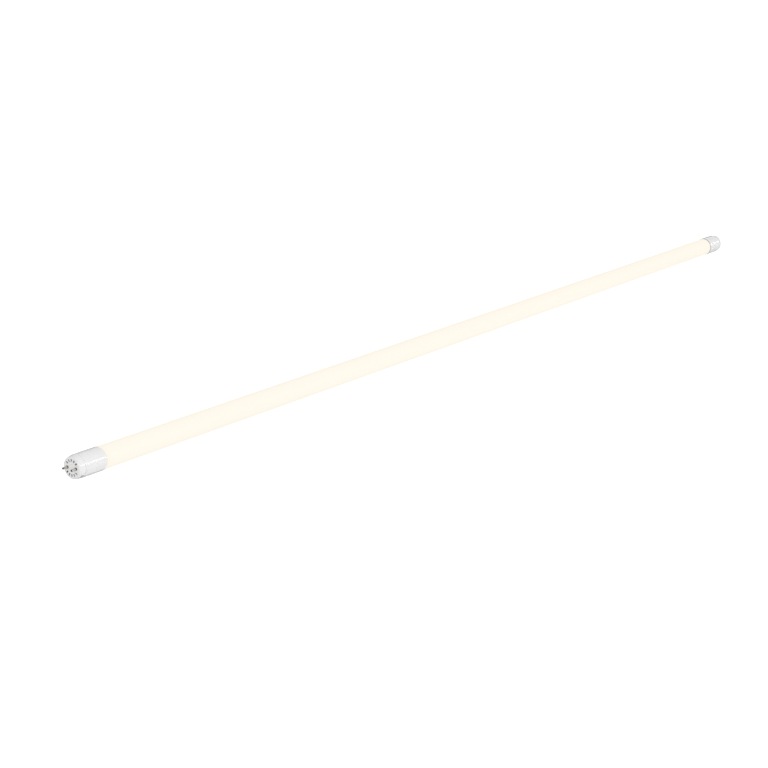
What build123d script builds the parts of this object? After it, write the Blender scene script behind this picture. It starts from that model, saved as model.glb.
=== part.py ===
from build123d import *
import math
import os

# Lamp: a straight LED tube with a two-pin cap at each end. Millimetres, tube along X, up is Z.
face_to_face = 1499.5  # from one cap face to the other, pins not counted
tube_diameter = 26.6
tube_wall = 1.0
tube_end_bevel = 0.3  # ground edge of the glass
neck_draw_in = 1.0  # how far the glass is drawn in under each cap, on the radius
neck_shoulder = 2.8  # length of the cone from body to neck
shoulder_reveal = 1.0  # part of that cone left in sight in front of the cap's rim

# Clearances
fit_clearance = 0.02  # between curved faces that are glued or pressed together
turn_clearance = 0.1  # between the turning pin carrier and its sleeve
seat_clearance = 0.2  # between glass, driver sleeve and what they seat against
board_clearance = 0.1  # between a board's edge and the round wall that holds it
cut_overrun = 1.0  # how far a cut runs past the wall that it opens

# Cap sleeve: the fixed part of a cap, glued over the neck of the glass
cap_length = 40.0  # from the end face to the rear rim
cap_proud = 0.3  # cap surface above the glass, on the radius
cap_rim_bevel = 0.15
glue_gap = 0.3  # thickness of the silicone ring
glue_setback = 1.5  # bare neck at each end of the silicone ring
socket_wall = 1.2  # wall of the sleeve round the turning spigot
flange_thickness = 2.0  # inner flange that the glass stops at

# Pin carrier: the front part of a cap, which turns in the sleeve
carrier_length = 8.0  # from the end face to the seam
face_thickness = 1.4
face_edge_round = 1.5
front_draft = 1.45  # how much the carrier narrows to the front, on the radius
seam_gap = 0.2
seam_chamfer = 0.25
seam_land = 0.35  # straight band between the draft and the seam's chamfer
spigot_length = 9.0
spigot_wall = 1.4
bead_height = 0.5  # snap bead on the spigot
bead_width = 1.4
bead_setback = 6.5  # from the seam to the middle of the bead
slit_count = 4  # slits that let the spigot flex as it snaps in
slit_width = 1.0
slit_length = 5.5
turn_limit = 90.0  # degrees each way from rest
stop_half_angle = 10.0  # half of the stop block in the sleeve, degrees
stop_clearance = 1.0  # degrees left at each end of the turn
tongue_length = 3.0  # tongue behind the spigot that meets the stop block
tongue_clearance = 1.0

# End face: vents in two fans between the pins, a low rib across, and an index window at the seam
vent_step = 360 / 14
vents_in_fan = 5
vent_ring_radius = 8.4
vent_length = 3.5
vent_width = 1.9
rib_angle = 25.7  # from the line of the pins
rib_length = 20.0
rib_width = 1.2
rib_height = 0.5
window_angle = -57.0  # from the line of the pins, low on one side
window_width = 10.0
window_in_carrier = 4.6  # length of the window in front of the seam
window_in_sleeve = 0.8  # length of the window behind the seam

# Contact pins
pin_spacing = 12.7
pin_diameter = 2.4
pin_length = 7.0
pin_tip_round = 0.75
pin_recess_diameter = 4.0
pin_recess_depth = 0.8
pin_seat_diameter = 3.0  # thicker part of the pin, pressed into the boss
pin_boss_wall = 1.2
pin_boss_height = 2.4
pin_flange_diameter = 3.6
pin_flange_thickness = 0.6
pin_tail = 1.8  # pin behind its flange, which takes the wire
pin_tail_diameter = 2.0
pin_bore_diameter = 1.0
pin_bore_depth = 1.2

# LED strip
board_width = 11.0
board_thickness = 0.8
board_setback = 4.0  # from the cap's rim, or the driver's end, to the strip
bed_inset = 0.6  # silicone bed inside the strip's edges
led_pitch = 11.8
led_edge = 4.0  # from the end of the strip to the first LED
led_length = 2.8
led_width = 3.5
led_height = 0.8
led_rim = 0.4  # wall round the phosphor
phosphor_depth = 0.4

# Driver
driver_thickness = 1.0
driver_corner = 1.0
driver_gap = 1.5  # from the spigot's end to the driver board
driver_sleeve_wall = 0.3
pad_zone = 3.8  # bare board at each end, for the wires
lane_gap = 1.0  # between the two rows of parts
part_gap = 1.0  # between parts in a row
capacitor_diameter = 6.3
capacitor_length = 11.0
capacitor_groove = 0.35
capacitor_bevel = 0.5
choke_diameter = 6.0
choke_height = 6.0
choke_flange = 1.0
choke_waist = 3.0
winding_inset = 0.3
varistor_diameter = 5.0
varistor_thickness = 2.8
varistor_bevel = 0.8
varistor_standoff = 1.0
bridge_length = 4.7
bridge_width = 3.9
bridge_height = 2.4
chip_length = 4.9
chip_width = 3.9
chip_height = 1.5
diode_length = 2.6
diode_width = 4.3
diode_height = 2.1
package_foot_reach = 1.1
package_foot_thickness = 0.25
package_taper = 6.0
resistor_diameter = 2.6
resistor_length = 6.5
resistor_bevel = 0.5
leg_diameter = 0.6
leg_reach = 1.2

# Wires
wire_diameter = 1.1
wire_bend = 2.0
wire_straight = 3.0  # straight run out of a pin and along a pad
supply_wire_offset = 3.9  # from the middle of the strip to each supply wire
supply_wire_drop = 3.0  # length of the slope down to the strip
link_reach = 3.0  # how far the far pins' link stands behind them

# Radii that follow from the sizes above
tube_radius = tube_diameter / 2
tube_bore = tube_radius - tube_wall
neck_radius = tube_radius - neck_draw_in
neck_bore = neck_radius - tube_wall
cap_radius = tube_radius + cap_proud
sleeve_bore = neck_radius + glue_gap
rim_glass_radius = tube_radius - neck_draw_in * shoulder_reveal / neck_shoulder
mouth_radius = rim_glass_radius + seat_clearance
flange_bore = neck_bore + turn_clearance
socket_radius = cap_radius - socket_wall
spigot_radius = socket_radius - turn_clearance
cavity_radius = spigot_radius - spigot_wall
pin_radius = pin_diameter / 2
pin_seat_radius = pin_seat_diameter / 2
wire_radius = wire_diameter / 2

# Depths behind the end face that follow from the sizes above
draft_end = carrier_length - seam_chamfer - seam_land
sleeve_front = carrier_length + seam_gap
spigot_end = carrier_length + spigot_length
bead_middle = carrier_length + bead_setback
tongue_end = spigot_end + tongue_length
flange_front = tongue_end + tongue_clearance
flange_back = flange_front + flange_thickness
glass_end = flange_back + seat_clearance
shoulder_start = cap_length + shoulder_reveal
neck_start = shoulder_start - neck_shoulder
boss_end = face_thickness + pin_boss_height
tail_end = boss_end + pin_flange_thickness + pin_tail

# Driver layout: parts in two rows on each side of the board
top_rows = [[capacitor_length + leg_reach], [choke_diameter, varistor_diameter]]
under_rows = [[resistor_length + 2 * leg_reach, diode_length], [bridge_length, chip_length]]
row_lengths = [sum(row) + part_gap * (len(row) - 1) for row in top_rows + under_rows]
driver_length = max(row_lengths) + 2 * pad_zone
driver_front = spigot_end + driver_gap
driver_end = driver_front + driver_length
driver_sleeve_radius = neck_bore - seat_clearance
driver_bore = driver_sleeve_radius - driver_sleeve_wall
driver_half_width = math.sqrt(driver_bore**2 - (driver_thickness / 2) ** 2) - board_clearance
driver_top = driver_thickness / 2

# LED strip layout
strip_start = max(cap_length, driver_end) + board_setback
strip_length = face_to_face - 2 * strip_start
strip_bottom = board_clearance - math.sqrt(tube_bore**2 - (board_width / 2) ** 2)
strip_top = strip_bottom + board_thickness
led_count = int((strip_length - 2 * led_edge) // led_pitch) + 1
led_places = [(i - (led_count - 1) / 2) * led_pitch for i in range(led_count)]

# The two ends: local Z points out of the lamp, local Y up, and local X to the right as the face is seen
near_end = Plane(origin=(-face_to_face / 2, 0, 0), x_dir=(0, -1, 0), z_dir=(-1, 0, 0))
far_end = Plane(origin=(face_to_face / 2, 0, 0), x_dir=(0, 1, 0), z_dir=(1, 0, 0))
ends = {"near": near_end, "far": far_end}


def turned(*points):
    """Solid turned about Z from corners given as (radius, depth behind the end face)."""
    outline = Polyline(*[(radius, 0, -depth) for radius, depth in points], close=True)
    return revolve(make_face(outline), Axis.Z)


def post(radius, start_depth, end_depth):
    """Round post about Z between two depths behind the end face."""
    return turned((0, start_depth), (radius, start_depth), (radius, end_depth), (0, end_depth))


def sector(inner, outer, start_depth, end_depth, middle_angle, half_angle):
    """Part of a ring about Z, centred on an angle from local X."""
    corners = [(inner, start_depth), (outer, start_depth), (outer, end_depth), (inner, end_depth)]
    outline = Polyline(*[(radius, 0, -depth) for radius, depth in corners], close=True)
    block = revolve(make_face(outline), Axis.Z, revolution_arc=2 * half_angle)
    return Rot(Z=middle_angle - half_angle) * block


def wire(points):
    """Round wire along straight runs with rounded corners."""
    path = FilletPolyline(*points, radius=wire_bend)
    return sweep(Plane(origin=path @ 0, z_dir=path % 0) * Circle(wire_radius), path=path)


def near_x(depth):
    """Place along the lamp of a depth behind the near end face."""
    return depth - face_to_face / 2


def row_places(lengths):
    """Middle of each part of a row on the driver board, as places along the lamp."""
    places = []
    start = near_x(driver_front + pad_zone)
    for length in lengths:
        places.append(start + length / 2)
        start += length + part_gap
    return places


def make_diffuser_tube():
    """Frosted glass tube with a drawn-in neck at each end."""
    half_body = face_to_face / 2 - shoulder_start
    half_neck = face_to_face / 2 - neck_start
    half_glass = face_to_face / 2 - glass_end
    bevel = min(tube_end_bevel, tube_wall / 3)
    half = turned(
        (tube_bore, 0),
        (tube_radius, 0),
        (tube_radius, half_body),
        (neck_radius, half_neck),
        (neck_radius, half_glass - bevel),
        (neck_radius - bevel, half_glass),
        (neck_bore + bevel, half_glass),
        (neck_bore, half_glass - bevel),
        (neck_bore, half_neck),
        (tube_bore, half_body),
    )
    return Rot(Y=90) * (half + mirror(half, Plane.XY))


def index_window():
    """Block that cuts the index window across the seam."""
    length = window_in_carrier + seam_gap + window_in_sleeve
    middle = carrier_length - window_in_carrier + length / 2
    height = cap_radius - cavity_radius + socket_wall
    block = Box(height, window_width, length)
    return Rot(Z=window_angle) * Pos(cavity_radius + height / 2 - turn_clearance, 0, -middle) * block


def make_cap_sleeve():
    """Fixed sleeve: socket for the carrier, inner flange, bore for the glass and a flared mouth."""
    half_groove = bead_width / 2 + turn_clearance
    rim_bevel = min(cap_rim_bevel, (cap_radius - mouth_radius) / 3)
    sleeve = turned(
        (cap_radius - seam_chamfer, sleeve_front),
        (cap_radius, sleeve_front + seam_chamfer),
        (cap_radius, cap_length - rim_bevel),
        (cap_radius - rim_bevel, cap_length),
        (mouth_radius, cap_length),
        (sleeve_bore, neck_start),
        (sleeve_bore, flange_back),
        (flange_bore, flange_back),
        (flange_bore, flange_front),
        (socket_radius, flange_front),
        (socket_radius, bead_middle + half_groove),
        (socket_radius + bead_height, bead_middle),
        (socket_radius, bead_middle - half_groove),
        (socket_radius, sleeve_front),
    )
    sleeve += sector(
        flange_bore + seat_clearance,
        socket_radius + socket_wall / 2,
        spigot_end + tongue_clearance,
        flange_front + flange_thickness / 2,
        90,
        stop_half_angle,
    )
    return sleeve - index_window()


def make_pin_carrier():
    """Turning front of a cap: vented end face, pin bosses, and a spigot that snaps into the sleeve."""
    carrier = turned(
        (0, 0),
        (cap_radius - front_draft, 0),
        (cap_radius, draft_end),
        (cap_radius, carrier_length - seam_chamfer),
        (cap_radius - seam_chamfer, carrier_length),
        (spigot_radius, carrier_length),
        (spigot_radius, bead_middle - bead_width / 2),
        (spigot_radius + bead_height, bead_middle),
        (spigot_radius, bead_middle + bead_width / 2),
        (spigot_radius, tongue_end),
        (cavity_radius, tongue_end),
        (cavity_radius, face_thickness),
        (0, face_thickness),
    )
    carrier = fillet(carrier.edges().group_by(Axis.Z)[-1], face_edge_round)
    carrier -= sector(
        cavity_radius - cut_overrun,
        spigot_radius + cut_overrun,
        spigot_end,
        tongue_end + cut_overrun,
        90,
        turn_limit + stop_half_angle + stop_clearance,
    )
    slit_depth = slit_length + tongue_length + cut_overrun
    slit = Box(2 * (spigot_wall + bead_height + cut_overrun), slit_width, slit_depth)
    for i in range(slit_count):
        turn = Rot(Z=360 * i / slit_count)
        carrier -= turn * Pos(spigot_radius, 0, slit_depth / 2 - tongue_end - cut_overrun) * slit
    for side in (-1, 1):
        place = Pos(side * pin_spacing / 2, 0, 0)
        carrier += place * post(pin_seat_radius + pin_boss_wall, face_thickness / 2, boss_end)
        carrier -= place * post(pin_recess_diameter / 2, -cut_overrun, pin_recess_depth)
        carrier -= place * post(pin_seat_radius + fit_clearance, 0, boss_end + cut_overrun)
    vent = Pos(0, 0, cut_overrun) * extrude(
        SlotOverall(vent_length, vent_width), amount=-face_thickness - 2 * cut_overrun
    )
    for fan_middle in (90, -90):
        for i in range(vents_in_fan):
            angle = fan_middle + (i - (vents_in_fan - 1) / 2) * vent_step
            carrier -= Rot(Z=angle) * Pos(vent_ring_radius, 0, 0) * vent
    rib = extrude(SlotOverall(rib_length, rib_width), amount=rib_height)
    carrier += Rot(Z=rib_angle) * rib
    return carrier - index_window()


def make_contact_pins():
    """Two turned pins, each with a rounded tip, a thicker seat, a flange behind its boss and a hollow tail."""
    tail_start = boss_end + pin_flange_thickness
    pin = turned(
        (0, -pin_length),
        (pin_radius, -pin_length),
        (pin_radius, pin_recess_depth),
        (pin_seat_radius, pin_recess_depth),
        (pin_seat_radius, boss_end),
        (pin_flange_diameter / 2, boss_end),
        (pin_flange_diameter / 2, tail_start),
        (pin_tail_diameter / 2, tail_start),
        (pin_tail_diameter / 2, tail_end),
        (pin_bore_diameter / 2, tail_end),
        (pin_bore_diameter / 2, tail_end - pin_bore_depth),
        (0, tail_end - pin_bore_depth),
    )
    pin = fillet(pin.edges().group_by(Axis.Z)[-1], pin_tip_round)
    return Compound([Pos(side * pin_spacing / 2, 0, 0) * pin for side in (-1, 1)])


def make_cap_adhesive():
    """Silicone ring between the neck of the glass and the sleeve."""
    inner = neck_radius + fit_clearance
    outer = sleeve_bore - fit_clearance
    start = glass_end + glue_setback
    end = neck_start - glue_setback
    return turned((inner, start), (outer, start), (outer, end), (inner, end))


def make_led_board():
    """Flat strip that carries the LEDs."""
    middle = strip_bottom + board_thickness / 2
    return Pos(0, 0, middle) * Box(strip_length, board_width, board_thickness)


def make_board_adhesive():
    """Silicone bed between the strip and the round glass under it."""
    depth = tube_bore + strip_bottom
    band = Pos(0, strip_bottom - depth / 2) * Rectangle(board_width - 2 * bed_inset, depth)
    section = Circle(tube_bore - fit_clearance) & band
    return extrude(Plane.YZ * section, amount=strip_length / 2 - bed_inset, both=True)


def led_pocket():
    """Phosphor fill of one LED, with its top at the LED's top."""
    size = (led_length - 2 * led_rim, led_width - 2 * led_rim, phosphor_depth)
    return Pos(0, 0, led_height - phosphor_depth / 2) * Box(*size)


def make_led_packages():
    """LED bodies in a row, each with a pocket for its phosphor."""
    body = Pos(0, 0, led_height / 2) * Box(led_length, led_width, led_height)
    body -= led_pocket()
    return Compound([Pos(x, 0, strip_top) * body for x in led_places])


def make_led_phosphor():
    """Phosphor fills of the row of LEDs."""
    return Compound([Pos(x, 0, strip_top) * led_pocket() for x in led_places])


def make_led_supply_leads():
    """Two wires from the driver's rear pads down to the strip."""
    high = driver_top + wire_radius
    low = strip_top + wire_radius
    landing = strip_start + wire_straight
    points = [
        (near_x(driver_end - pad_zone + wire_radius), high),
        (near_x(landing - supply_wire_drop), high),
        (near_x(landing), low),
        (near_x(landing + 2 * wire_straight), low),
    ]
    wires = []
    for side in (-1, 1):
        wires.append(wire([(x, side * supply_wire_offset, z) for x, z in points]))
    return Compound(wires)


def make_driver_board():
    """Circuit board on the tube's axis, inside the near cap."""
    outline = RectangleRounded(driver_length, 2 * driver_half_width, driver_corner)
    board = extrude(outline, amount=driver_thickness / 2, both=True)
    return Pos(near_x((driver_front + driver_end) / 2), 0, 0) * board


def make_driver_sleeve():
    """Insulating sleeve round the driver, held in the neck of the glass."""
    outer = driver_sleeve_radius
    return turned(
        (driver_bore, flange_front), (outer, flange_front), (outer, driver_end), (driver_bore, driver_end)
    )


def make_smoothing_capacitor():
    """Can capacitor lying on the board, with a crimp groove and two legs bent down to the board."""
    radius = capacitor_diameter / 2
    bevel = capacitor_bevel
    groove_at = capacitor_length - 2 * bevel - capacitor_groove
    can = turned(
        (0, 0),
        (radius - bevel, 0),
        (radius, bevel),
        (radius, groove_at - capacitor_groove),
        (radius - capacitor_groove, groove_at),
        (radius, groove_at + capacitor_groove),
        (radius, capacitor_length - bevel),
        (radius - bevel, capacitor_length),
        (0, capacitor_length),
    )
    leg_radius = leg_diameter / 2
    leg_drop = radius + leg_radius
    for side in (-1, 1):
        out = Pos(0, side * radius / 2, -capacitor_length - leg_reach / 2)
        can += out * Cylinder(leg_radius, leg_reach)
        down = Pos(-leg_drop / 2 + leg_radius, side * radius / 2, leg_radius - capacitor_length - leg_reach)
        can += down * Rot(Y=90) * Cylinder(leg_radius, leg_drop)
    place = row_places(top_rows[0])[0] + (capacitor_length + leg_reach) / 2 - leg_reach
    return Pos(place, (lane_gap + capacitor_diameter) / 2, driver_top + radius) * Rot(Y=90) * can


def choke_place():
    """Middle of the choke on the board's top."""
    return Pos(row_places(top_rows[1])[0], -(lane_gap + choke_diameter) / 2, driver_top)


def make_choke_core():
    """Ferrite drum standing on the board."""
    rim = choke_diameter / 2
    waist = choke_waist / 2
    drum = turned(
        (0, 0),
        (rim, 0),
        (rim, -choke_flange),
        (waist, -choke_flange),
        (waist, choke_flange - choke_height),
        (rim, choke_flange - choke_height),
        (rim, -choke_height),
        (0, -choke_height),
    )
    return choke_place() * drum


def make_choke_winding():
    """Copper winding in the waist of the drum."""
    inner = choke_waist / 2 + fit_clearance
    outer = choke_diameter / 2 - winding_inset
    low = -choke_flange - fit_clearance
    high = choke_flange + fit_clearance - choke_height
    return choke_place() * turned((inner, low), (outer, low), (outer, high), (inner, high))


def make_varistor():
    """Coated disc standing on two legs."""
    radius = varistor_diameter / 2
    half = varistor_thickness / 2
    disc = turned(
        (0, -half),
        (radius - varistor_bevel, -half),
        (radius, varistor_bevel - half),
        (radius, half - varistor_bevel),
        (radius - varistor_bevel, half),
        (0, half),
    )
    middle = varistor_standoff + radius
    body = Pos(0, 0, middle) * Rot(X=90) * disc
    leg = Cylinder(leg_diameter / 2, middle, align=(Align.CENTER, Align.CENTER, Align.MIN))
    for side in (-1, 1):
        body += Pos(side * varistor_diameter / 4, 0, 0) * leg
    place = row_places(top_rows[1])[1]
    return Pos(place, -(lane_gap + varistor_thickness) / 2, driver_top) * body


def chip_package(length, width, height, feet_per_side, foot_width):
    """Moulded package on flat feet that stand out at both sides, with its base at Z = 0."""
    base = package_foot_thickness
    body = Pos(0, 0, base) * extrude(Rectangle(length, width), amount=height - base, taper=package_taper)
    foot = Box(
        foot_width,
        width + 2 * package_foot_reach,
        package_foot_thickness,
        align=(Align.CENTER, Align.CENTER, Align.MIN),
    )
    pitch = length / feet_per_side
    for i in range(feet_per_side):
        body += Pos((i - (feet_per_side - 1) / 2) * pitch, 0, 0) * foot
    return body


def under_board(package, place, side, width):
    """Package turned over and set on the underside of the driver board, in one of its two rows."""
    offset = side * (lane_gap + width) / 2
    return Pos(place, offset, -driver_top) * Rot(X=180) * package


def make_bridge_rectifier():
    """Rectifier with two feet at each side."""
    package = chip_package(bridge_length, bridge_width, bridge_height, 2, bridge_length / 6)
    full_width = bridge_width + 2 * package_foot_reach
    return under_board(package, row_places(under_rows[1])[0], -1, full_width)


def make_controller_chip():
    """Control chip with four feet at each side."""
    package = chip_package(chip_length, chip_width, chip_height, 4, chip_length / 12)
    full_width = chip_width + 2 * package_foot_reach
    return under_board(package, row_places(under_rows[1])[1], -1, full_width)


def make_freewheel_diode():
    """Diode with one foot at each side."""
    package = chip_package(diode_length, diode_width, diode_height, 1, diode_length / 2)
    full_width = diode_width + 2 * package_foot_reach
    return under_board(package, row_places(under_rows[0])[1], 1, full_width)


def make_fuse_resistor():
    """Axial resistor with both legs bent to the board."""
    radius = resistor_diameter / 2
    leg_radius = leg_diameter / 2
    half = resistor_length / 2
    body = Rot(Y=90) * turned(
        (0, -half),
        (radius - resistor_bevel, -half),
        (radius, resistor_bevel - half),
        (radius, half - resistor_bevel),
        (radius - resistor_bevel, half),
        (0, half),
    )
    leg_drop = radius + leg_radius
    for side in (-1, 1):
        out = Pos(side * (resistor_length + leg_reach) / 2, 0, 0)
        body += out * Rot(Y=90) * Cylinder(leg_radius, leg_reach)
        corner = side * (resistor_length / 2 + leg_reach - leg_radius)
        body += Pos(corner, 0, leg_radius - leg_drop / 2) * Cylinder(leg_radius, leg_drop)
    place = row_places(under_rows[0])[0]
    return under_board(Pos(0, 0, radius) * body, place, 1, resistor_diameter)


def make_near_pin_leads():
    """Two wires from the tails of the near pins to the front pads of the driver board."""
    high = driver_top + wire_radius
    points = [
        (near_x(tail_end), 0),
        (near_x(tail_end + wire_straight), 0),
        (near_x(driver_front - wire_radius), high),
        (near_x(driver_front + pad_zone - wire_radius), high),
    ]
    wires = []
    for side in (-1, 1):
        wires.append(wire([(x, side * pin_spacing / 2, z) for x, z in points]))
    return Compound(wires)


def make_far_pin_link():
    """Wire that joins the tails of the far pins."""
    half = pin_spacing / 2
    back = -tail_end - link_reach
    return wire([(-half, 0, -tail_end), (-half, 0, back), (half, 0, back), (half, 0, -tail_end)])


parts = {
    "diffuser_tube": make_diffuser_tube(),
    "led_board": make_led_board(),
    "board_adhesive": make_board_adhesive(),
    "led_packages": make_led_packages(),
    "led_phosphor": make_led_phosphor(),
    "led_supply_leads": make_led_supply_leads(),
    "driver_board": make_driver_board(),
    "driver_sleeve": near_end * make_driver_sleeve(),
    "smoothing_capacitor": make_smoothing_capacitor(),
    "choke_core": make_choke_core(),
    "choke_winding": make_choke_winding(),
    "varistor": make_varistor(),
    "bridge_rectifier": make_bridge_rectifier(),
    "controller_chip": make_controller_chip(),
    "freewheel_diode": make_freewheel_diode(),
    "fuse_resistor": make_fuse_resistor(),
    "near_pin_leads": make_near_pin_leads(),
    "far_pin_link": far_end * make_far_pin_link(),
}
cap_pieces = {
    "cap_sleeve": make_cap_sleeve(),
    "cap_adhesive": make_cap_adhesive(),
    "pin_carrier": make_pin_carrier(),
    "contact_pins": make_contact_pins(),
}
for end, plane in ends.items():
    for name, piece in cap_pieces.items():
        parts[f"{end}_{name}"] = plane * piece

os.makedirs("parts", exist_ok=True)
for name, piece in parts.items():
    export_step(piece, f"parts/{name}.step")
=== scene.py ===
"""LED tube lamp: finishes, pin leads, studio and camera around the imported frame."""

import logging
import math
from dataclasses import dataclass
from enum import Enum

import bpy
from mathutils import Color, Matrix, Vector


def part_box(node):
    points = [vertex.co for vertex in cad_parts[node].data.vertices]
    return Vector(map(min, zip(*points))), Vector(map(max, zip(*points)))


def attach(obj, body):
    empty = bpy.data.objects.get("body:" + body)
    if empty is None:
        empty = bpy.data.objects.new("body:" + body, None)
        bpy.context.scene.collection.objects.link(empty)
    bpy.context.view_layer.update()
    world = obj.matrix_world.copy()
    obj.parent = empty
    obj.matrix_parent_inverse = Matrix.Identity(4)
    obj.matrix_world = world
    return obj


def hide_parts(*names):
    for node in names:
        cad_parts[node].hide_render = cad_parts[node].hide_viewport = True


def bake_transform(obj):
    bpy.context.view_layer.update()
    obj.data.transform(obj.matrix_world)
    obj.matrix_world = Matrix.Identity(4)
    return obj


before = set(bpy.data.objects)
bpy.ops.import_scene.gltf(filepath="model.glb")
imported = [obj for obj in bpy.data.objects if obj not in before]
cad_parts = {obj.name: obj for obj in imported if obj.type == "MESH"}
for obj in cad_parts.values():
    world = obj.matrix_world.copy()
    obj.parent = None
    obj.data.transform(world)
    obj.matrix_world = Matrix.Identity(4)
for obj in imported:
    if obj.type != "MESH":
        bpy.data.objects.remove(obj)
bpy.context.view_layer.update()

LOG = logging.getLogger("led_tube")
MM = 0.001
MICRON = 0.001 * MM

Socket = bpy.types.NodeSocket
Value = Socket | float | tuple[float, ...]
Point = tuple[float, float, float]
Rgba = tuple[float, float, float, float]

WHITE: Rgba = (1.0, 1.0, 1.0, 1.0)
EVEN: Point = (1.0, 1.0, 1.0)
ALONG: Point = (1.0, 0.0, 0.0)
ACROSS: Point = (0.0, 1.0, 1.0)
UPRIGHT: Point = (0.0, 0.0, 1.0)

# Distances from the lamp's middle, the same towards both ends
CAP_RIM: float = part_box("far_cap_sleeve")[0].x
CAP_FRONT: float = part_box("far_pin_carrier")[1].x
PIN_TIP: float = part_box("far_contact_pins")[1].x

# Scale at which Blender's wave texture has one stripe in a metre
STRIPE_SCALE = math.pi / 10


class LampEnd(Enum):
    """The two ends of the lamp, as the node names begin."""

    NEAR = "near"
    FAR = "far"


class Effect(Enum):
    """Surface effects, each one shader node group."""

    TONE = "tone_drift"
    GRAIN = "moulded_grain"
    LINES = "drawn_lines"
    WEAR = "edge_wear"
    BAND = "place_band"
    DUST = "settled_dust"
    CORE = "cap_inside_shade"


class StripeWay(Enum):
    """Directions in which stripes follow each other, as Blender names them."""

    SIDEWAYS = "Y"
    UPWARDS = "Z"
    SLANTED = "DIAGONAL"


@dataclass(frozen=True)
class Shade:
    """A colour as it is seen on a screen, each part from 0 to 255."""

    red: float
    green: float
    blue: float

    @property
    def rgba(self) -> Rgba:
        """The colour as linear light, with full alpha."""
        seen = Color((self.red / 255, self.green / 255, self.blue / 255))
        return (*seen.from_srgb_to_scene_linear(), 1.0)


@dataclass(frozen=True)
class Fade:
    """A passage from one look to another, measured outwards from a mark along the lamp."""

    mark: float
    start: float
    end: float


def grey(level: float) -> Rgba:
    """A grey of one level of linear light."""
    return level, level, level, 1.0


class NodeSheet:
    """A shader node tree, with short calls that add nodes and join them."""

    # Places of the Mix node's colour sockets, whose names its other sockets have too
    MIX_INPUTS = (0, 6, 7)
    MIX_OUTPUT = 2

    def __init__(self, tree: bpy.types.NodeTree) -> None:
        """Keeps the tree to draw on."""
        self.tree = tree

    def add(
        self, kind: str, inputs: dict[str | int, Value] | None = None, **settings: object
    ) -> bpy.types.Node:
        """Adds one node.

        Args:
            kind: the node's type, without its ShaderNode prefix.
            inputs: values or sockets for its inputs, by name or place.
            settings: plain properties of the node.

        Returns:
            The new node.
        """
        node = self.tree.nodes.new(f"ShaderNode{kind}")
        for name, value in settings.items():
            setattr(node, name, value)
        for key, value in (inputs or {}).items():
            self.feed(node.inputs[key], value)
        return node

    def feed(self, socket: Socket, value: Value) -> None:
        """Joins a socket to another, or sets its plain value.

        Args:
            socket: the input to feed.
            value: another node's output, or a number, place or colour.
        """
        if isinstance(value, Socket):
            self.tree.links.new(value, socket)
        else:
            socket.default_value = value

    def math(self, operation: str, first: Value, second: Value = 0.0) -> Socket:
        """One sum on values, by Blender's name for it."""
        return self.add("Math", {0: first, 1: second}, operation=operation).outputs[0]

    def vector(self, operation: str, *places: Value) -> bpy.types.NodeOutputs:
        """One sum on places, by Blender's name for it, with a Vector and a Value."""
        return self.add("VectorMath", dict(enumerate(places)), operation=operation).outputs

    def step(self, value: Value, low: Value, high: Value) -> Socket:
        """Smooth step of a value, from 0 at low to 1 at high."""
        spread = {"Value": value, "From Min": low, "From Max": high}
        return self.add("MapRange", spread, interpolation_type="SMOOTHSTEP").outputs["Result"]

    def span(self, value: Value, low: float, high: float) -> Socket:
        """Spreads a value from 0 to 1 over the range from low to high."""
        return self.add("MapRange", {"Value": value, "To Min": low, "To Max": high}).outputs["Result"]

    def mix(self, share: Value, first: Value, second: Value, mode: str = "MIX") -> Socket:
        """Mixes two colours, with the share of the second that shows."""
        inputs = dict(zip(self.MIX_INPUTS, (share, first, second)))
        return self.add("Mix", inputs, data_type="RGBA", blend_type=mode).outputs[self.MIX_OUTPUT]

    def place(self) -> Socket:
        """Where a point of the object lies at rest, in metres."""
        return self.add("TexCoord").outputs["Object"]

    def facing(self) -> Socket:
        """The way that the surface faces."""
        return self.add("NewGeometry").outputs["Normal"]

    def noise(self, scale: Value, detail: float = 2.0, stretch: Point = EVEN) -> Socket:
        """Cloudy noise around 0.5, with clouds counted in a metre, long where stretch is under 1."""
        spread = self.add("Mapping", {"Vector": self.place(), "Scale": stretch}).outputs["Vector"]
        return self.add("TexNoise", {"Vector": spread, "Scale": scale, "Detail": detail}).outputs["Fac"]


class GroupSheet(NodeSheet):
    """A shader node group with named inputs and outputs."""

    INPUT_KINDS = {3: "NodeSocketVector", 4: "NodeSocketColor"}

    def __init__(self, effect: Effect) -> None:
        """Starts an empty group.

        Args:
            effect: what the group is for.
        """
        super().__init__(bpy.data.node_groups.new(effect.value, "ShaderNodeTree"))
        self.enter = self.tree.nodes.new("NodeGroupInput")
        self.leave = self.tree.nodes.new("NodeGroupOutput")

    def take(self, name: str, default: float | tuple[float, ...] = 0.0) -> Socket:
        """Adds an input.

        Args:
            name: the input's name.
            default: a number, a place of three numbers or a colour of four.

        Returns:
            The socket to read it from, inside the group.
        """
        kind = self.INPUT_KINDS[len(default)] if isinstance(default, tuple) else "NodeSocketFloat"
        socket = self.tree.interface.new_socket(name=name, in_out="INPUT", socket_type=kind)
        socket.default_value = default
        return self.enter.outputs[name]

    def give(self, name: str, source: Socket) -> None:
        """Adds an output.

        Args:
            name: the output's name.
            source: the socket inside the group that feeds it, a colour or a value.
        """
        kind = "NodeSocketColor" if source.type == "RGBA" else "NodeSocketFloat"
        self.tree.interface.new_socket(name=name, in_out="OUTPUT", socket_type=kind)
        self.tree.links.new(source, self.leave.inputs[name])


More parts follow.
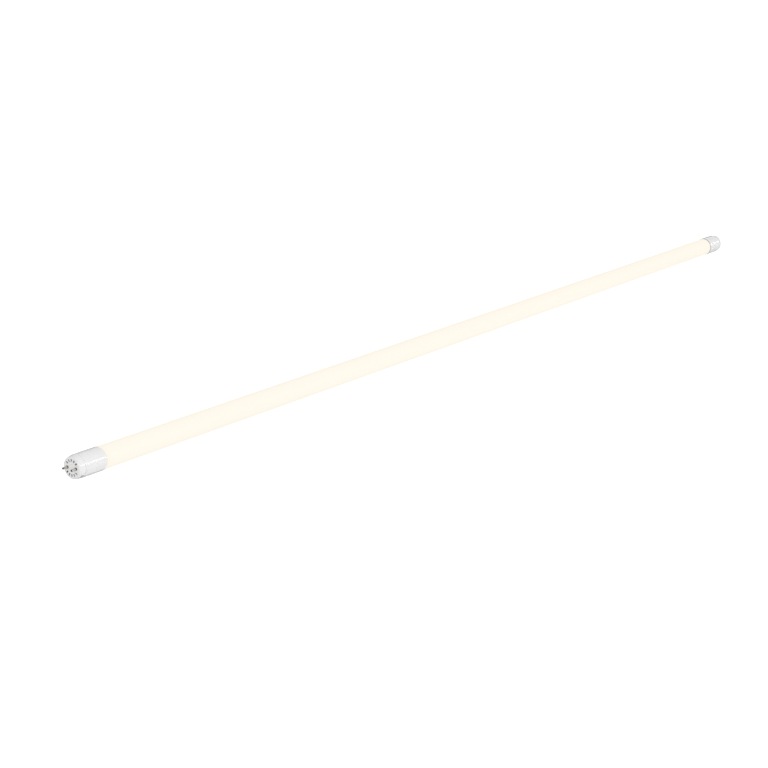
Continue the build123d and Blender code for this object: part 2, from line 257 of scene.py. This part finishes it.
def make_tone() -> bpy.types.NodeTree:
    """Makes the slow drift of a colour towards a shaded one.

    Returns:
        The node group, from Color to Color.
    """
    shading = (0.72, 0.72, 0.74, 1.0)
    cloud_detail = 4.0
    sheet = GroupSheet(Effect.TONE)
    color = sheet.take("Color", WHITE)
    amount = sheet.take("Amount")
    clouds = sheet.noise(sheet.take("Scale"), cloud_detail)
    shaded = sheet.mix(1.0, color, shading, "MULTIPLY")
    sheet.give("Color", sheet.mix(sheet.math("MULTIPLY", clouds, amount), color, shaded))
    return sheet.tree


def make_grain() -> bpy.types.NodeTree:
    """Makes the fine grain of a mould, and the wider patches in which its gloss changes.

    Returns:
        The node group, with Height and Gloss from 0 to 1.
    """
    pit_share = 0.6
    patch_scale = 0.06
    detail = 3.0
    sheet = GroupSheet(Effect.GRAIN)
    scale = sheet.take("Scale")
    pits = sheet.add("TexVoronoi", {"Vector": sheet.place(), "Scale": scale}).outputs["Distance"]
    coarse = sheet.math("MULTIPLY", pits, pit_share)
    fine = sheet.math("MULTIPLY", sheet.noise(scale, detail), 1.0 - pit_share)
    sheet.give("Height", sheet.math("ADD", coarse, fine))
    sheet.give("Gloss", sheet.noise(sheet.math("MULTIPLY", scale, patch_scale), detail))
    return sheet.tree


def make_lines() -> bpy.types.NodeTree:
    """Makes the lines of drawn metal, which run along the lamp.

    Returns:
        The node group, with Height and Streak from 0 to 1.
    """
    line_stretch = (0.02, 1.0, 1.0)
    streak_stretch = (0.05, 1.0, 1.0)
    streak_scale = 0.25
    sheet = GroupSheet(Effect.LINES)
    scale = sheet.take("Scale")
    wide = sheet.math("MULTIPLY", scale, streak_scale)
    sheet.give("Height", sheet.noise(scale, stretch=line_stretch))
    sheet.give("Streak", sheet.noise(wide, stretch=streak_stretch))
    return sheet.tree


def make_wear() -> bpy.types.NodeTree:
    """Makes the patchy wear of sharp edges.

    Returns:
        The node group, with a Mask that is 1 where an edge is worn.
    """
    edge_turn = (0.02, 0.22)
    patch_scale = 700.0
    patch_detail = 3.0
    patch_edge = (0.35, 0.65)
    sheet = GroupSheet(Effect.WEAR)
    rounded = sheet.add("Bevel", {"Radius": sheet.take("Radius")}).outputs["Normal"]
    same = sheet.vector("DOT_PRODUCT", rounded, sheet.facing())["Value"]
    edge = sheet.step(sheet.math("SUBTRACT", 1.0, same), *edge_turn)
    patches = sheet.step(sheet.noise(patch_scale, patch_detail), *patch_edge)
    sheet.give("Mask", sheet.math("MULTIPLY", edge, patches))
    return sheet.tree


def make_band() -> bpy.types.NodeTree:
    """Makes a mask that rises with the distance from a plane across an axis.

    Returns:
        The node group, with a Mask that is 0 up to Low and 1 from High.
    """
    sheet = GroupSheet(Effect.BAND)
    along = sheet.vector("DOT_PRODUCT", sheet.place(), sheet.take("Axis", ALONG))["Value"]
    away = sheet.math("ABSOLUTE", sheet.math("SUBTRACT", along, sheet.take("Middle")))
    sheet.give("Mask", sheet.step(away, sheet.take("Low"), sheet.take("High")))
    return sheet.tree


def make_dust() -> bpy.types.NodeTree:
    """Makes the specks of dust that settle on what faces up.

    Returns:
        The node group, with a Mask that is 1 under full dust.
    """
    slope = (0.3, 1.0)
    speck_scale = 900.0
    speck_detail = 4.0
    speck_edge = (0.45, 0.75)
    sheet = GroupSheet(Effect.DUST)
    up = sheet.add("SeparateXYZ", {0: sheet.facing()}).outputs["Z"]
    specks = sheet.step(sheet.noise(speck_scale, speck_detail), *speck_edge)
    settled = sheet.math("MULTIPLY", sheet.step(up, *slope), specks)
    sheet.give("Mask", sheet.math("MULTIPLY", settled, sheet.take("Amount")))
    return sheet.tree


def make_inside_shade() -> bpy.types.NodeTree:
    """Makes the mask for painted shade inside a cap: what lies within Radius of the axis and behind Face.

    Returns:
        The node group, with a Mask that is 1 inside.
    """
    blend = 0.2 * MM
    sheet = GroupSheet(Effect.CORE)
    radius = sheet.take("Radius")
    face = sheet.take("Face")
    across = sheet.vector("MULTIPLY", sheet.place(), ACROSS)["Vector"]
    reach = sheet.vector("LENGTH", across)["Value"]
    along = sheet.math("ABSOLUTE", sheet.vector("DOT_PRODUCT", sheet.place(), ALONG)["Value"])
    outside = sheet.step(reach, radius, sheet.math("ADD", radius, blend))
    front = sheet.step(along, face, sheet.math("ADD", face, blend))
    sheet.give("Mask", sheet.math("SUBTRACT", 1.0, sheet.math("MAXIMUM", outside, front)))
    return sheet.tree


EFFECTS: dict[Effect, bpy.types.NodeTree] = {
    Effect.TONE: make_tone(),
    Effect.GRAIN: make_grain(),
    Effect.LINES: make_lines(),
    Effect.WEAR: make_wear(),
    Effect.BAND: make_band(),
    Effect.DUST: make_dust(),
    Effect.CORE: make_inside_shade(),
}


class Skin(NodeSheet):
    """A material on one Principled BSDF."""

    def __init__(self, name: str) -> None:
        """Starts a material with its shader joined to the output.

        Args:
            name: the material's name.
        """
        self.material = bpy.data.materials.new(name)
        self.material.use_nodes = True
        super().__init__(self.material.node_tree)
        self.tree.nodes.clear()
        self.shader = self.add("BsdfPrincipled")
        self.add("OutputMaterial", {"Surface": self.shader.outputs["BSDF"]})

    def set(self, **values: Value) -> None:
        """Sets the shader's inputs, named with _ for each space."""
        for name, value in values.items():
            self.feed(self.shader.inputs[name.replace("_", " ")], value)

    def effect(self, effect: Effect, **values: Value) -> bpy.types.NodeOutputs:
        """Places a shared effect.

        Args:
            effect: which one.
            values: its inputs in this material.

        Returns:
            Its outputs.
        """
        node = self.add("Group", node_tree=EFFECTS[effect])
        for name, value in values.items():
            self.feed(node.inputs[name], value)
        return node.outputs

    def beyond(self, fade: Fade) -> Socket:
        """Mask that rises over a fade, towards both ends of the lamp."""
        low, high = fade.mark + fade.start, fade.mark + fade.end
        return self.effect(Effect.BAND, Low=low, High=high)["Mask"]

    def relief(self, height: Socket, depth: float, edge: float = 0.0) -> None:
        """Gives the surface a fine relief.

        Args:
            height: relief from 0 to 1.
            depth: how deep it is, in metres.
            edge: radius that softens sharp edges, in metres.
        """
        bump = self.add("Bump", {"Height": height, "Distance": depth})
        if edge:
            soft = self.add("Bevel", {"Radius": edge})
            self.feed(bump.inputs["Normal"], soft.outputs["Normal"])
        self.set(Normal=bump.outputs["Normal"])

    def glow(self, color: Socket, strength: float) -> None:
        """Makes the surface glow, without sampling it as a light."""
        self.set(Emission_Color=color, Emission_Strength=strength)
        self.material.cycles.emission_sampling = "NONE"


@dataclass(frozen=True)
class Finish:
    """A plain moulded surface: drifting tone, fine grain and uneven gloss.

    The scales of grain and drift count their features in a metre, and depth is the relief's.
    """

    name: str
    color: Shade
    roughness: float = 0.4
    spread: float = 0.05
    grain: float = 2500.0
    depth: float = 4.0 * MICRON
    drift: float = 0.15
    drift_scale: float = 60.0

    def make(self) -> bpy.types.Material:
        """Builds the material.

        Returns:
            The painted material.
        """
        skin = Skin(self.name)
        self.paint(skin)
        return skin.material

    def tone(self, skin: Skin, color: Value | None = None) -> Socket:
        """The finish's colour, or another one, with its drift."""
        start = self.color.rgba if color is None else color
        return skin.effect(Effect.TONE, Color=start, Amount=self.drift, Scale=self.drift_scale)["Color"]

    def gloss(self, skin: Skin, patches: Socket) -> Socket:
        """The finish's roughness, uneven as patches from 0 to 1 say."""
        return skin.span(patches, self.roughness - self.spread, self.roughness + self.spread)

    def paint(self, skin: Skin) -> None:
        """Joins the effects to the shader.

        Args:
            skin: the material in the making.
        """
        grain = skin.effect(Effect.GRAIN, Scale=self.grain)
        skin.set(Base_Color=self.tone(skin), Roughness=self.gloss(skin, grain["Gloss"]))
        skin.relief(grain["Height"], self.depth)


@dataclass(frozen=True)
class CapFinish(Finish):
    """Light grey cap plastic: semi-gloss, rubbed at its edges, with a little dust on top.

    The rim beside the glass has a painted shadow and is matt, and painted shade darkens what lies inside
    the cap.
    """

    edge: float = 0.18 * MM
    wear_radius: float = 0.36 * MM
    edge_color: Shade = Shade(246, 246, 246)
    dust: float = 0.12
    dust_color: Shade = Shade(214, 212, 206)
    dust_roughness: float = 0.5
    # Painted shadow on the rim where the cap meets the glass, made matt
    rim: Fade = Fade(CAP_RIM, 0.05 * MM, 0.25 * MM)
    rim_shadow_color: Shade = Shade(146, 136, 118)
    rim_roughness: float = 0.7
    # Painted shade inside the cap: where it reaches and how dark it is
    inside_radius: float = 10.9 * MM
    inside_depth: float = 2.85 * MM
    inside_shade_color: Shade = Shade(120, 118, 115)

    def paint(self, skin: Skin) -> None:
        """Joins the effects to the shader.

        Args:
            skin: the material in the making.
        """
        grain = skin.effect(Effect.GRAIN, Scale=self.grain)
        worn = skin.effect(Effect.WEAR, Radius=self.wear_radius)["Mask"]
        dusty = skin.effect(Effect.DUST, Amount=self.dust)["Mask"]
        # Painted shadow: a dark band on the rim beside the glass
        clear = skin.beyond(self.rim)
        face = CAP_FRONT - self.inside_depth
        # Painted shade: what lies inside the cap is darkened, standing in for the shadow in its hollow
        inside = skin.effect(Effect.CORE, Radius=self.inside_radius, Face=face)["Mask"]
        moulded = skin.mix(inside, self.tone(skin), self.inside_shade_color.rgba)
        rim_shadowed = skin.mix(clear, self.rim_shadow_color.rgba, moulded)
        rubbed = skin.mix(worn, rim_shadowed, self.edge_color.rgba)
        dulled = skin.math("MULTIPLY", dusty, self.dust_roughness)
        matt = skin.math("MAXIMUM", dulled, skin.span(clear, self.rim_roughness, 0.0))
        skin.set(
            Base_Color=skin.mix(dusty, rubbed, self.dust_color.rgba),
            Roughness=skin.math("ADD", self.gloss(skin, grain["Gloss"]), matt),
        )
        skin.relief(grain["Height"], self.depth, self.edge)


@dataclass(frozen=True)
class PinFinish(Finish):
    """Nickel on turned pins: drawn lines, dull patches, painted shade at the foot, and a darker tip."""

    # Painted shade at the foot, where each pin meets the carrier's face
    foot: Fade = Fade(CAP_FRONT, -0.65 * MM, 0.55 * MM)
    foot_shade_color: Shade = Shade(112, 104, 94)
    tip: Fade = Fade(PIN_TIP, -1.55 * MM, -0.35 * MM)
    tip_color: Shade = Shade(70, 64, 58)

    def paint(self, skin: Skin) -> None:
        """Joins the effects to the shader.

        Args:
            skin: the material in the making.
        """
        lines = skin.effect(Effect.LINES, Scale=self.grain)
        # Painted shade darkens each pin's foot beside the carrier's face
        plated_with_foot_shade = skin.mix(skin.beyond(self.foot), self.foot_shade_color.rgba, self.tone(skin))
        skin.set(
            Base_Color=skin.mix(skin.beyond(self.tip), plated_with_foot_shade, self.tip_color.rgba),
            Roughness=self.gloss(skin, lines["Streak"]),
            Metallic=1.0,
        )
        skin.relief(lines["Height"], self.depth)


@dataclass(frozen=True)
class GlassFinish(Finish):
    """Lit frosted glass: an even warm glow under a satin skin.

    The glow turns warmer towards the ends, and the neck beside each cap is in the dark.
    """

    strength: float = 0.9
    glow: Shade = Shade(255, 251, 244)
    end: Fade = Fade(CAP_RIM, -11.75 * MM, -1.35 * MM)
    end_glow: Shade = Shade(255, 248, 239)
    neck: Fade = Fade(CAP_RIM, -0.65 * MM, -0.25 * MM)
    neck_glow: Shade = Shade(114, 102, 85)
    satin: float = 0.45
    satin_roughness: float = 0.5
    satin_ior: float = 1.3
    satin_tint: Shade = Shade(253, 249, 238)

    def paint(self, skin: Skin) -> None:
        """Joins the effects to the shader.

        Args:
            skin: the material in the making.
        """
        super().paint(skin)
        warm = skin.mix(skin.beyond(self.end), self.glow.rgba, self.end_glow.rgba)
        glow = skin.mix(skin.beyond(self.neck), warm, self.neck_glow.rgba)
        skin.glow(self.tone(skin, glow), self.strength)
        skin.set(
            Specular_IOR_Level=0.0,
            Coat_Weight=self.satin,
            Coat_Roughness=self.satin_roughness,
            Coat_IOR=self.satin_ior,
            Coat_Tint=self.satin_tint.rgba,
        )


@dataclass(frozen=True)
class GlowFinish(Finish):
    """Phosphor fill of the LEDs, lit."""

    strength: float = 0.5

    def paint(self, skin: Skin) -> None:
        """Joins the effects to the shader."""
        super().paint(skin)
        skin.glow(self.tone(skin), self.strength)


@dataclass(frozen=True)
class SiliconeFinish(Finish):
    """Milky silicone, a little translucent."""

    milk: float = 0.4
    milk_depth: float = 0.6 * MM

    def paint(self, skin: Skin) -> None:
        """Joins the effects to the shader."""
        super().paint(skin)
        skin.set(Subsurface_Weight=self.milk, Subsurface_Radius=EVEN, Subsurface_Scale=self.milk_depth)


@dataclass(frozen=True)
class LeggedFinish(Finish):
    """Coated electronic part with tinned legs or feet, which start at a distance from one plane."""

    leg_color: Shade = Shade(196, 194, 190)
    leg_axis: Point = ALONG
    leg_middle: float = 0.0
    leg_start: float = 0.0
    leg_blend: float = 0.03 * MM

    def paint(self, skin: Skin) -> None:
        """Joins the effects to the shader.

        Args:
            skin: the material in the making.
        """
        grain = skin.effect(Effect.GRAIN, Scale=self.grain)
        leg = skin.effect(
            Effect.BAND,
            Axis=self.leg_axis,
            Middle=self.leg_middle,
            Low=self.leg_start,
            High=self.leg_start + self.leg_blend,
        )["Mask"]
        skin.set(
            Base_Color=skin.mix(leg, self.tone(skin), self.leg_color.rgba),
            Roughness=self.gloss(skin, grain["Gloss"]),
            Metallic=leg,
        )
        skin.relief(grain["Height"], self.depth)


@dataclass(frozen=True)
class StripedFinish(Finish):
    """Surface with even stripes: a winding's turns, a woven board or traces under a mask.

    The stripes are counted in a metre.
    """

    stripe_color: Shade = Shade(120, 60, 30)
    stripe_way: StripeWay = StripeWay.UPWARDS
    stripes: float = 3000.0
    metallic: float = 0.0

    def paint(self, skin: Skin) -> None:
        """Joins the effects to the shader.

        Args:
            skin: the material in the making.
        """
        wave = skin.add(
            "TexWave",
            {"Vector": skin.place(), "Scale": self.stripes * STRIPE_SCALE},
            bands_direction=self.stripe_way.value,
        ).outputs["Fac"]
        skin.set(
            Base_Color=skin.mix(wave, self.stripe_color.rgba, self.tone(skin)),
            Roughness=self.gloss(skin, wave),
            Metallic=self.metallic,
        )
        skin.relief(wave, self.depth)


def coat(mesh: bpy.types.Mesh, material: bpy.types.Material) -> None:
    """Gives a mesh one material."""
    mesh.materials.clear()
    mesh.materials.append(material)


def dress(material: bpy.types.Material, *names: str) -> None:
    """Puts a material on CAD nodes.

    Args:
        material: the finish.
        names: the nodes that take it.
    """
    for name in names:
        coat(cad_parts[name].data, material)
        LOG.info("dressed %s in %s", name, material.name)


def make_piece(name: str, mesh: bpy.types.Mesh, material: bpy.types.Material) -> bpy.types.Object:
    """Makes a piece of the scene's own.

    Args:
        name: the piece's name.
        mesh: its shape.
        material: its finish.

    Returns:
        The piece, in the scene.
    """
    coat(mesh, material)
    piece = bpy.data.objects.new(name, mesh)
    bpy.context.scene.collection.objects.link(piece)
    LOG.info("built %s in %s", name, material.name)
    return piece


@dataclass
class LampTube:
    """The lit glass and the silicone that holds it in its caps."""

    glass: Finish = GlassFinish(
        "lit_frosted_glass", Shade(96, 96, 95), roughness=0.5,
        grain=1800.0, depth=3.0 * MICRON, drift=0.03, drift_scale=25.0,
    )
    silicone: Finish = SiliconeFinish(
        "milky_silicone", Shade(228, 228, 224), roughness=0.45, grain=900.0, depth=20.0 * MICRON
    )

    def finish(self) -> None:
        """Dresses the glass and its silicone rings."""
        dress(self.glass.make(), "diffuser_tube")
        dress(self.silicone.make(), "near_cap_adhesive", "far_cap_adhesive", "board_adhesive")


@dataclass
class EndCaps:
    """The two caps: fixed sleeve, turning pin carrier and contact pins."""

    plastic: Finish = CapFinish(
        "cap_plastic", Shade(236, 236, 236), roughness=0.18,
        grain=5200.0, depth=1.5 * MICRON, drift=0.12, drift_scale=90.0,
    )
    metal: Finish = PinFinish(
        "pin_nickel", Shade(204, 197, 186), roughness=0.3,
        grain=6000.0, depth=2.0 * MICRON, drift=0.4, drift_scale=500.0,
    )

    def finish(self) -> None:
        """Dresses both ends."""
        plastic, metal = self.plastic.make(), self.metal.make()
        for end in LampEnd:
            dress(plastic, f"{end.value}_cap_sleeve", f"{end.value}_pin_carrier")
            dress(metal, f"{end.value}_contact_pins")


@dataclass
class LightStrip:
    """The LED strip with its packages and supply wires."""

    board: Finish = StripedFinish(
        "white_strip_board", Shade(240, 240, 238), depth=1.0 * MICRON,
        stripes=260.0, stripe_color=Shade(232, 232, 229), stripe_way=StripeWay.SIDEWAYS,
    )
    body: Finish = Finish("led_body", Shade(244, 243, 238), roughness=0.45, grain=6000.0)
    phosphor: Finish = GlowFinish("led_phosphor", Shade(246, 208, 92), roughness=0.6, grain=9000.0)
    wires: Finish = SiliconeFinish("supply_wire_insulation", Shade(230, 228, 224), roughness=0.45)

    def finish(self) -> None:
        """Dresses the strip."""
        dress(self.board.make(), "led_board")
        dress(self.body.make(), "led_packages")
        dress(self.phosphor.make(), "led_phosphor")
        dress(self.wires.make(), "led_supply_leads")


@dataclass
class Driver:
    """The driver board, its insulating sleeve and the parts on it."""

    foot_height: float = 0.25 * MM
    deep_plane: float = 10.0 * MM
    leg_reach: float = 1.2 * MM
    standoff: float = 1.0 * MM
    board: Finish = StripedFinish(
        "driver_board_laminate", Shade(38, 106, 62),
        stripes=2500.0, stripe_color=Shade(32, 92, 54), stripe_way=StripeWay.SLANTED,
    )
    film: Finish = Finish("insulating_film", Shade(236, 236, 230), roughness=0.25, grain=1200.0)
    ferrite: Finish = Finish(
        "ferrite", Shade(58, 56, 56), roughness=0.55, grain=3500.0, depth=10.0 * MICRON
    )
    copper: Finish = StripedFinish(
        "copper_turns", Shade(192, 112, 62), roughness=0.3, depth=40.0 * MICRON,
        stripes=4200.0, stripe_color=Shade(120, 62, 30), metallic=1.0,
    )

    def finish(self) -> None:
        """Dresses the board, its sleeve and its parts."""
        dress(self.board.make(), "driver_board")
        dress(self.film.make(), "driver_sleeve")
        dress(self.ferrite.make(), "choke_core")
        dress(self.copper.make(), "choke_winding")
        self.finish_packages()
        self.finish_legged()

    def finish_packages(self) -> None:
        """Dresses the moulded packages, whose tinned feet are furthest from a plane below them."""
        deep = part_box("driver_board")[0].z - self.deep_plane
        mould = LeggedFinish(
            "black_mould", Shade(38, 38, 40), roughness=0.55, grain=5000.0,
            leg_axis=UPRIGHT, leg_middle=deep, leg_start=self.deep_plane - self.foot_height,
        )
        dress(mould.make(), "bridge_rectifier", "controller_chip", "freewheel_diode")

    def finish_legged(self) -> None:
        """Dresses the parts that have wire legs."""
        can, disc, rod = (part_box(name) for name in ("smoothing_capacitor", "varistor", "fuse_resistor"))
        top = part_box("driver_board")[1].z
        sleeve = LeggedFinish(
            "capacitor_sleeve", Shade(38, 38, 44), roughness=0.3,
            leg_middle=can[1].x, leg_start=can[1].x - can[0].x - self.leg_reach,
        )
        epoxy = LeggedFinish(
            "varistor_coat", Shade(44, 84, 150), roughness=0.35,
            leg_axis=UPRIGHT, leg_middle=disc[1].z, leg_start=disc[1].z - top - self.standoff,
        )
        paint = LeggedFinish(
            "resistor_coat", Shade(150, 166, 180),
            leg_middle=(rod[0].x + rod[1].x) / 2, leg_start=(rod[1].x - rod[0].x) / 2 - self.leg_reach,
        )
        self.stand_capacitor(sleeve.make())
        dress(epoxy.make(), "varistor")
        dress(paint.make(), "fuse_resistor")

    def stand_capacitor(self, material: bpy.types.Material) -> None:
        """Stands the capacitor on its legs: the CAD can, turned half round on its axis.

        Args:
            material: the finish of its sleeve and legs.
        """
        low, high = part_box("smoothing_capacitor")
        middle = (low + high) / 2
        half_turn = Matrix.Rotation(math.pi, 4, "X")
        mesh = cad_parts["smoothing_capacitor"].data.copy()
        mesh.transform(Matrix.Translation(middle) @ half_turn @ Matrix.Translation(-middle))
        can = make_piece("capacitor_on_legs", mesh, material)
        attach(can, "lamp")
        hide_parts("smoothing_capacitor")


@dataclass
class PinLeads:
    """Wires behind the pins: the near pair runs from the pins' tails to the driver's pads, the far pins
    share a link.
    """

    radius: float = 0.55 * MM
    straight: float = 3.0 * MM
    pad_run: float = 4.35 * MM
    rings: int = 14
    roundness: int = 4
    curve_order: int = 3
    insulation: Finish = SiliconeFinish("lead_insulation", Shade(222, 222, 218), roughness=0.45)

    def route(self, side: int) -> list[Point]:
        """Control points of one near lead.

        Args:
            side: which lead, -1 or 1.

        Returns:
            Points from the pin's tail to the driver's pad.
        """
        low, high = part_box("near_pin_leads")
        y = side * (high.y - self.radius)
        rise = high.z - self.radius
        xs = (low.x, low.x + self.straight, high.x - self.pad_run, high.x)
        return [(x, y, z) for x, z in zip(xs, (0.0, 0.0, rise, rise))]

    def draw(self) -> bpy.types.Mesh:
        """Draws both near leads as round wires along their routes.

        Returns:
            The wires' mesh.
        """
        curve = bpy.data.curves.new("near_leads_route", "CURVE")
        curve.dimensions = "3D"
        curve.bevel_depth = self.radius
        curve.bevel_resolution = self.roundness
        curve.use_fill_caps = True
        for side in (-1, 1):
            points = self.route(side)
            spline = curve.splines.new("NURBS")
            spline.points.add(len(points) - 1)
            for point, place in zip(spline.points, points):
                point.co = (*place, 1.0)
            spline.order_u = self.curve_order
            spline.use_endpoint_u = True
            spline.resolution_u = self.rings
        drawn = bpy.data.objects.new("near_leads_route", curve)
        mesh = bpy.data.meshes.new_from_object(drawn)
        mesh.polygons.foreach_set("use_smooth", [True] * len(mesh.polygons))
        bpy.data.objects.remove(drawn)
        return mesh

    def finish(self) -> None:
        """Builds the near leads in place of the CAD ones, and dresses the far link."""
        insulation = self.insulation.make()
        leads = make_piece("near_leads", self.draw(), insulation)
        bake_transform(leads)
        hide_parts("near_pin_leads")
        dress(insulation, "far_pin_link")


@dataclass(frozen=True)
class SoftLight:
    """A soft rectangular studio light. Its level is its radiance."""

    name: str
    place: Point
    aim: Point
    width: float
    height: float
    level: float

    def build(self) -> None:
        """Adds the light, turned to its aim."""
        lamp = bpy.data.lights.new(self.name, "AREA")
        lamp.shape = "RECTANGLE"
        lamp.size = self.width
        lamp.size_y = self.height
        lamp.energy = self.level * math.pi * self.width * self.height
        way = Vector(self.aim) - Vector(self.place)
        holder = bpy.data.objects.new(self.name, lamp)
        holder.location = self.place
        holder.rotation_euler = way.to_track_quat("-Z", "Y").to_euler()
        holder.visible_camera = False
        bpy.context.scene.collection.objects.link(holder)


@dataclass
class Studio:
    """Floor, dark card, lights, sky and camera, with sizes in metres and turns in degrees."""

    camera_place: Point = (-2.0920, -1.3916, 0.6247)
    camera_turn: Point = (74.392, 0.0, -53.828)
    lens: float = 88.59
    sky_level: float = 0.68
    floor_level: float = -0.35
    floor_reach: float = 14.0
    floor_tone: float = 0.8
    floor_glow: float = 0.56
    card_span: tuple[float, float] = (-1.0, 6.0)
    card_front: float = 0.05
    card_back: float = 1.2
    card_top: float = 0.9
    card_lift: float = 0.01
    card_tone: float = 0.4
    wing_start: float = 1.2
    wing_side: float = -4.0
    wing_top: float = 3.0
    lights: tuple[SoftLight, ...] = (
        SoftLight(
            "near_strip", place=(0.6, -2.0, 0.56), aim=(0.6, 0.0, 0.0), width=2.2, height=0.09, level=24.0
        ),
        SoftLight(
            "far_strip", place=(4.5, -2.0, 0.75), aim=(4.5, 0.0, 0.0), width=1.6, height=0.3, level=6.0
        ),
        SoftLight(
            "front_fill", place=(-3.2, -1.6, 1.5), aim=(0.0, 0.0, 0.0), width=1.6, height=1.6, level=3.6
        ),
    )

    def finish(self) -> None:
        """Sets up the studio."""
        scene = bpy.context.scene
        scene.view_settings.view_transform = "Standard"
        scene.camera = self.make_camera()
        scene.world = self.make_sky()
        self.make_floor()
        self.make_card()
        for light in self.lights:
            light.build()
        LOG.info("studio set")

    def make_card(self) -> bpy.types.Object:
        """Makes the dark card below, behind and beyond the lamp.

        Only gloss shows it, so that pale edges stand out on white.

        Returns:
            The card, in the scene.
        """
        low = self.floor_level + self.card_lift
        end = self.card_span[1]
        behind = ((self.card_front, low), (self.card_back, low), (self.card_back, self.card_top))
        beyond = ((self.wing_start, low), (end, low), (end, self.wing_top))
        sides = (self.wing_side, self.card_back)
        corners = [(x, y, z) for y, z in behind for x in self.card_span]
        corners += [(x, y, z + self.card_lift) for x, z in beyond for y in sides]
        first_corners = (0, 2, 6, 8)
        mesh = bpy.data.meshes.new("dark_card")
        mesh.from_pydata(corners, [], [(i, i + 1, i + 3, i + 2) for i in first_corners])
        skin = Skin("dark_card")
        skin.set(Base_Color=grey(self.card_tone))
        card = make_piece("dark_card", mesh, skin.material)
        for way in ("camera", "diffuse", "transmission", "shadow"):
            setattr(card, f"visible_{way}", False)
        return card

    def make_camera(self) -> bpy.types.Object:
        """Makes the camera at the photograph's angle.

        Returns:
            The camera, in the scene.
        """
        data = bpy.data.cameras.new("camera")
        data.lens = self.lens
        camera = bpy.data.objects.new("camera", data)
        camera.location = self.camera_place
        camera.rotation_euler = [math.radians(turn) for turn in self.camera_turn]
        bpy.context.scene.collection.objects.link(camera)
        return camera

    def seen_directly(self, sheet: NodeSheet) -> Socket:
        """Share that is 1 for rays from the camera, a gloss or a clear surface.

        Args:
            sheet: the node tree in the making.

        Returns:
            The share's socket.
        """
        rays = sheet.add("LightPath").outputs
        shown = sheet.math("MAXIMUM", rays["Is Camera Ray"], rays["Is Glossy Ray"])
        return sheet.math("MAXIMUM", shown, rays["Is Transmission Ray"])

    def split(self, sheet: NodeSheet, lit: bpy.types.Node, seen: bpy.types.Node) -> Socket:
        """Shader with one look for what it lights and another where it is seen."""
        looks = {0: self.seen_directly(sheet), 1: lit.outputs[0], 2: seen.outputs[0]}
        return sheet.add("MixShader", looks).outputs[0]

    def make_sky(self) -> bpy.types.World:
        """Makes an even sky that is white where it is seen.

        Returns:
            The world that holds it.
        """
        world = bpy.data.worlds.new("sky")
        world.use_nodes = True
        sheet = NodeSheet(world.node_tree)
        sheet.tree.nodes.clear()
        seen = sheet.add("Background", {"Color": WHITE})
        light = sheet.add("Background", {"Color": WHITE, "Strength": self.sky_level})
        sheet.add("OutputWorld", {"Surface": self.split(sheet, light, seen)})
        return world

    def make_floor(self) -> bpy.types.Object:
        """Makes the pale floor, which is white where it is seen and unshadowed.

        Returns:
            The floor, in the scene.
        """
        reach, level = self.floor_reach, self.floor_level
        corners = [(x * reach, y * reach, level) for x, y in ((-1, -1), (1, -1), (1, 1), (-1, 1))]
        mesh = bpy.data.meshes.new("floor")
        mesh.from_pydata(corners, [], [(0, 1, 2, 3)])
        material = bpy.data.materials.new("pale_floor")
        material.use_nodes = True
        sheet = NodeSheet(material.node_tree)
        sheet.tree.nodes.clear()
        matt = sheet.add("BsdfDiffuse", {"Color": grey(self.floor_tone)})
        glow = sheet.add("Emission", {"Color": WHITE, "Strength": self.floor_glow})
        glowing = sheet.add("AddShader", {0: matt.outputs[0], 1: glow.outputs[0]})
        sheet.add("OutputMaterial", {"Surface": self.split(sheet, matt, glowing)})
        return make_piece("floor", mesh, material)


def main() -> None:
    """Builds each sub-assembly in order, then the studio."""
    logging.basicConfig(level=logging.INFO, format="%(name)s: %(message)s")
    for part in (LampTube(), EndCaps(), LightStrip(), Driver(), PinLeads(), Studio()):
        part.finish()


if __name__ == "__main__":
    main()
